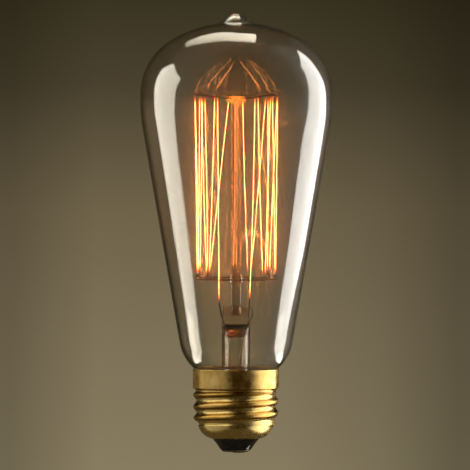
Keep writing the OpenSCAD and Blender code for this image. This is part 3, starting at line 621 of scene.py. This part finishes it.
# %% The strung route
CAGE_TOP_R, CAGE_BOTTOM_R, CAGE_TOP_Z, CAGE_BOTTOM_Z = 12.6, 12.1, 109.2, 53.1
CAGE_OPENING, RING_LEAN, TOP_HOOKS = 58, 1.4, 10
SUPPORT_D, HOOK_BEND, WIRE_D, WIRE_BEND, WIRE_GAP = 0.3, 0.55, 0.09, 0.5, 0.01
STRAND_BOW, BOW_TURN, STRAND_STEPS, BEND_STEPS = 0.25, 137, 16, 10
TOP_STRAY = [0, -3, -4, -2, 9, -10, -2, 1, 5, 0]
BOTTOM_STRAY = [-1, -4, -1, -11, -4, -14, -12, 0, 2]
HOOK_STEP = (360 - CAGE_OPENING) / (TOP_HOOKS - 1)
# The foot and the top of each clip, and the share of it at its foot that the wire leaves free
LEFT_CLIP = Vector((-4.275, -0.364, 41.1)), Vector((-5.18, -1.2, 45.7))
RIGHT_CLIP = Vector((3.8, -2.3, 41.2)), Vector((4.1, -2.7, 46.8))
CLIP_FREE = 0.1


def round_axis(r, angle, z):
    """A point at a radius, an angle from the front towards the left, and a height."""
    return Vector((-r * sin(radians(angle)), -r * cos(radians(angle)), z))


def hook_bend(angle, r, z, up):
    """The half turn of the wire over a top hook, or under a bottom one."""
    across = Vector((-cos(radians(angle)), sin(radians(angle)), 0))
    lift = Vector((0, 0, up))
    turns = [pi * s / BEND_STEPS for s in range(BEND_STEPS + 1)]
    return [round_axis(r, angle, z) - WIRE_BEND * (cos(t) * across - sin(t) * lift) for t in turns]


def strand(start, stop, number):
    """The points between two hooks, bowed to one side or the other, each strand by its own share."""
    points = []
    for s in (i / STRAND_STEPS for i in range(1, STRAND_STEPS)):
        middle = start.lerp(stop, s)
        out = Vector((middle.x, middle.y, 0)).normalized()
        bow = STRAND_BOW * sin(pi * s) * sin(radians(BOW_TURN * number))
        points.append(middle + bow * Vector((-out.y, out.x, 0)))
    return points


off_hook = (SUPPORT_D + WIRE_D) / 2 + WIRE_GAP - WIRE_BEND
bends = []
for i in range(TOP_HOOKS):
    angle = CAGE_OPENING / 2 + HOOK_STEP * i + TOP_STRAY[i]
    bends.append(hook_bend(angle, CAGE_TOP_R, CAGE_TOP_Z + off_hook, 1))
    if i < TOP_HOOKS - 1:
        angle = CAGE_OPENING / 2 + HOOK_STEP * (i + 0.5) + BOTTOM_STRAY[i]
        hook_z = CAGE_BOTTOM_Z - RING_LEAN / 2 * cos(radians(angle)) + 2 * HOOK_BEND
        bends.append(hook_bend(angle, CAGE_BOTTOM_R, hook_z - off_hook, -1))
first_grip = [LEFT_CLIP[0].lerp(LEFT_CLIP[1], CLIP_FREE), LEFT_CLIP[1]]
last_grip = [RIGHT_CLIP[1], RIGHT_CLIP[1].lerp(RIGHT_CLIP[0], 1 - CLIP_FREE)]
stops = [first_grip] + bends + [last_grip]
route = list(stops[0])
for number, stop in enumerate(stops[1:]):
    route += strand(route[-1], stop[0], number) + stop
lengths = [0]
for a, b in zip(route, route[1:]):
    lengths.append(lengths[-1] + (b - a).length)
print("the wire is", round(lengths[-1]), "mm long and has", len(route), "points")

# %% [markdown]
# A tungsten thread at about 2000 K glows amber. It is hottest along the strands, and cools where a
# hook or a clip draws heat away, so the light fades over the last millimetres. Each point of the
# mesh carries its own warmth, from its distance along the wire to the nearest cold place. (A mesh
# can't call this "heat": the renderer keeps that name for smoke, and reads nothing from it here.)

# %% Glowing filament
FADE_START, FADE_LENGTH, WIRE_SIDES = 0.6, 3.4, 8

glowing_wire, tree, place = new_finish("glowing_filament")
hot = add(tree, "Attribute", attribute_name="warmth")
glow = add(
    tree, "ValToRGB", {0: hot.outputs["Fac"]},
    [(0, "#000000"), (1, "#ff9a58"), (0.25, "#3c0c00"), (0.5, "#a0400a"), (0.75, "#e87828")],
)
finish_with(tree, {
    "Base Color": "#2a1c14", "Metallic": 1, "Roughness": 0.5,
    "Emission Color": glow.outputs[0], "Emission Strength": 36,
})

cold = [lengths[0], lengths[1], lengths[-2], lengths[-1]]
for stop in bends:
    cold.append(lengths[route.index(stop[len(stop) // 2])])
points, faces, warmths = [], [], []
side_way = Vector((1, 0, 0))
for i, middle in enumerate(route):
    ahead = (route[min(i + 1, len(route) - 1)] - route[max(i - 1, 0)]).normalized()
    side_way = (side_way - side_way.dot(ahead) * ahead).normalized()
    warmth = ease((min(abs(lengths[i] - c) for c in cold) - FADE_START) / FADE_LENGTH)
    for k in range(WIRE_SIDES):
        turn = 2 * pi * k / WIRE_SIDES
        points.append(middle + WIRE_D / 2 * (cos(turn) * side_way + sin(turn) * ahead.cross(side_way)))
        warmths.append(warmth)
        if i:
            a, b = (i - 1) * WIRE_SIDES + k, (i - 1) * WIRE_SIDES + (k + 1) % WIRE_SIDES
            faces.append((a, b, b + WIRE_SIDES, a + WIRE_SIDES))
faces += [list(range(WIRE_SIDES))[::-1], list(range(len(points) - WIRE_SIDES, len(points)))]
wire = link_piece("strung_filament", points, faces, glowing_wire, "filament")
wire.data.attributes.new("warmth", "FLOAT", "POINT").data.foreach_set("value", warmths)

# %% [markdown]
# ## Wires
# The hooks are molybdenum, which is grey and browns a little in the heat. The clips and inner leads
# are nickel. The short wires in the press are copper-clad and turn red-brown under their borax
# glaze, and the outer leads are bare copper. Drawing leaves fine lines along each of them.

# %% Drawn wires
STREAK_W, WIRE_DULLING = 1, 0.08


def drawn_wire(name, dark, light, roughness):
    """A drawn wire: two tones in streaks of about 1 mm, and a fine bump."""
    material, tree, place = new_finish(name)
    streaks = add(tree, "TexNoise", {0: place, "Scale": 1 / STREAK_W, "Detail": 4, "Roughness": 0.7})
    tone = add(tree, "ValToRGB", {0: streaks.outputs[0]}, [(0.3, dark), (0.7, light)])
    rub = add(tree, "Bump", {"Height": streaks.outputs[0], "Strength": 0.2, "Distance": 0.02 * MM})
    dulled = add(tree, "MapRange", {
        "Value": streaks.outputs[0], "To Min": roughness - WIRE_DULLING, "To Max": roughness + WIRE_DULLING,
    })
    finish_with(tree, {
        "Base Color": tone.outputs[0], "Metallic": 1, "Roughness": dulled.outputs[0],
        "Normal": rub.outputs[0],
    })
    return material


molybdenum = drawn_wire("drawn_molybdenum", "#2c1a10", "#5a4232", 0.4)
nickel = drawn_wire("drawn_nickel", "#4a443c", "#7d756a", 0.3)
copper_clad = drawn_wire("borated_copper_clad_wire", "#7a2f1c", "#b0563a", 0.3)
copper = drawn_wire("drawn_copper", "#a8623c", "#d99468", 0.3)

# %% [markdown]
# ## The contact end
# The insulator is opaque black glass, pressed hot into the shell, so it is glossy with slight
# ripples. The contact is brass that has dulled, with a blob of grey solder that froze unevenly.

# %% Black glass
INSULATOR_RIPPLE_W = 2

black_glass, tree, place = new_finish("pressed_black_glass")
ripple = add(tree, "TexNoise", {0: place, "Scale": 1 / INSULATOR_RIPPLE_W, "Detail": 2})
soft_ripple = add(tree, "Bump", {"Height": ripple.outputs[0], "Strength": 0.2, "Distance": 0.2 * MM})
tone = add(tree, "ValToRGB", {0: ripple.outputs[0]}, [(0.3, "#0b0a0c"), (0.7, "#161418")])
finish_with(tree, {
    "Base Color": tone.outputs[0], "Roughness": 0.04, "IOR": 1.52, "Normal": soft_ripple.outputs[0],
})

# %% Dull metals and cement
METAL_DULLING, CRUMB_W = 0.1, 0.6


def dull_metal(name, dark, light, grain_mm, roughness, depth_mm):
    """A cast or tarnished metal: blotches of two tones with dents of the same size."""
    material, tree, place = new_finish(name)
    grain = add(tree, "TexNoise", {0: place, "Scale": 1 / grain_mm, "Detail": 5, "Roughness": 0.6})
    tone = add(tree, "ValToRGB", {0: grain.outputs[0]}, [(0.3, dark), (0.7, light)])
    dulled = add(tree, "MapRange", {
        "Value": grain.outputs[0], "To Min": roughness + METAL_DULLING, "To Max": roughness - METAL_DULLING,
    })
    dents = add(tree, "Bump", {"Height": grain.outputs[0], "Strength": 0.6, "Distance": depth_mm * MM})
    finish_with(tree, {
        "Base Color": tone.outputs[0], "Metallic": 1, "Roughness": dulled.outputs[0],
        "Normal": dents.outputs[0],
    })
    return material


dull_brass = dull_metal("oxidised_brass", "#6b6252", "#a09580", 1.5, 0.42, 0.06)
solder = dull_metal("tin_lead_solder", "#77746e", "#b2aea6", 1.1, 0.4, 0.15)

cement, tree, place = new_finish("fired_basing_cement")
crumbs = add(tree, "TexNoise", {0: place, "Scale": 1 / CRUMB_W, "Detail": 6, "Roughness": 0.7})
tone = add(tree, "ValToRGB", {0: crumbs.outputs[0]}, [(0.3, "#a89878"), (0.7, "#d8ccb0")])
pores = add(tree, "Bump", {"Height": crumbs.outputs[0], "Strength": 0.5, "Distance": 0.1 * MM})
finish_with(tree, {"Base Color": tone.outputs[0], "Roughness": 0.9, "Normal": pores.outputs[0]})

# %% [markdown]
# ## Giving each piece its finish
# The solid model names a slot for each piece, so one table of slots dresses them all.

# %% Dress the pieces
finishes = {
    "bulb_glass": blown_glass, "stem_glass": lead_glass, "support_wire": molybdenum,
    "filament": glowing_wire, "nickel_wire": nickel, "copper_clad_wire": copper_clad,
    "copper_wire": copper, "brass_shell": rolled_brass, "cement": cement,
    "black_glass": black_glass, "contact_metal": dull_brass, "solder": solder,
}
for piece in nodes.values():
    for holder in piece.material_slots:
        holder.material = finishes[holder.material.name.split(".")[0]]
print("dressed", len(nodes), "pieces with", len(finishes), "finishes")
